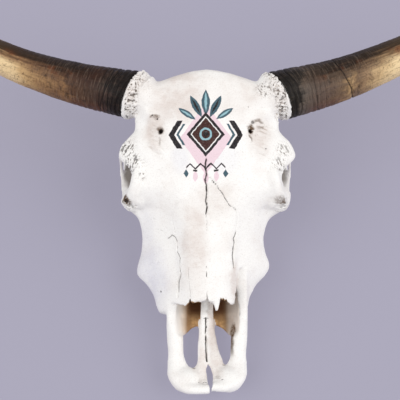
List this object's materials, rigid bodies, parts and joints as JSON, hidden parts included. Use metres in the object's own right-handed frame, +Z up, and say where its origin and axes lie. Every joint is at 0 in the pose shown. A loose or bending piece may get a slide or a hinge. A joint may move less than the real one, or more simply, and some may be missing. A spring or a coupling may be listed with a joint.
{
  "type": "painted longhorn cattle skull",
  "caption": "Cattle skull painted chalk white with a small forehead design, ringed horns swept out and up, cracked sutures, open snout and cheek teeth, lying palate down.",
  "frame": {"origin": "bottom centre of the whole object's box, on the surface that the skull lies on", "axes": "+X to the animal's left along the spread of the horns, +Y from the snout back to the poll, +Z up out of the face"},
  "size_m": [1.2073, 0.6833, 0.3047],
  "materials": {
    "painted_bone": "matte",
    "horn": "satin",
    "tooth": "satin"
  },
  "bodies": {
    "root": {"cranium": "painted_bone", "horn_left": "horn", "horn_right": "horn", "left_premolar_2": "tooth", "left_premolar_3": "tooth", "left_premolar_4": "tooth", "left_molar_1": "tooth", "left_molar_2": "tooth", "left_molar_3": "tooth", "right_premolar_2": "tooth", "right_premolar_3": "tooth", "right_premolar_4": "tooth", "right_molar_1": "tooth", "right_molar_2": "tooth", "right_molar_3": "tooth"}
  },
  "joints": []
}
